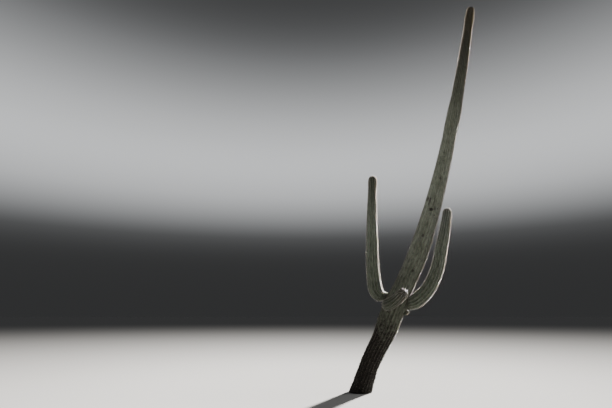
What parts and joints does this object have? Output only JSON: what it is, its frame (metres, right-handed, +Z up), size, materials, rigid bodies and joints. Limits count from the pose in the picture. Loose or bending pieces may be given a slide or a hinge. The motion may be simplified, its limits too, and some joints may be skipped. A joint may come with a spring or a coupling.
{
  "type": "saguaro cactus",
  "caption": "Tall leaning saguaro cactus rooted in level ground, with a ribbed tapering stem, upright side arms on narrow necks, a short front arm and a young bud.",
  "frame": {"origin": "middle of the flat cut under the stem, at ground level", "axes": "+Z up; +X the way the stem leans; the short arm grows towards -Y"},
  "size_m": [3.543, 1.1546, 9.3033],
  "materials": {
    "stem_skin": "waxy grey-green skin with pale spines",
    "arm_skin": "waxy green skin with pale spines"
  },
  "bodies": {
    "root": {"trunk": "stem_skin", "left_arm_elbow": "arm_skin", "left_arm_column": "arm_skin", "right_arm_elbow": "arm_skin", "right_arm_column": "arm_skin", "front_arm": "arm_skin", "bud": "arm_skin"}
  },
  "joints": []
}
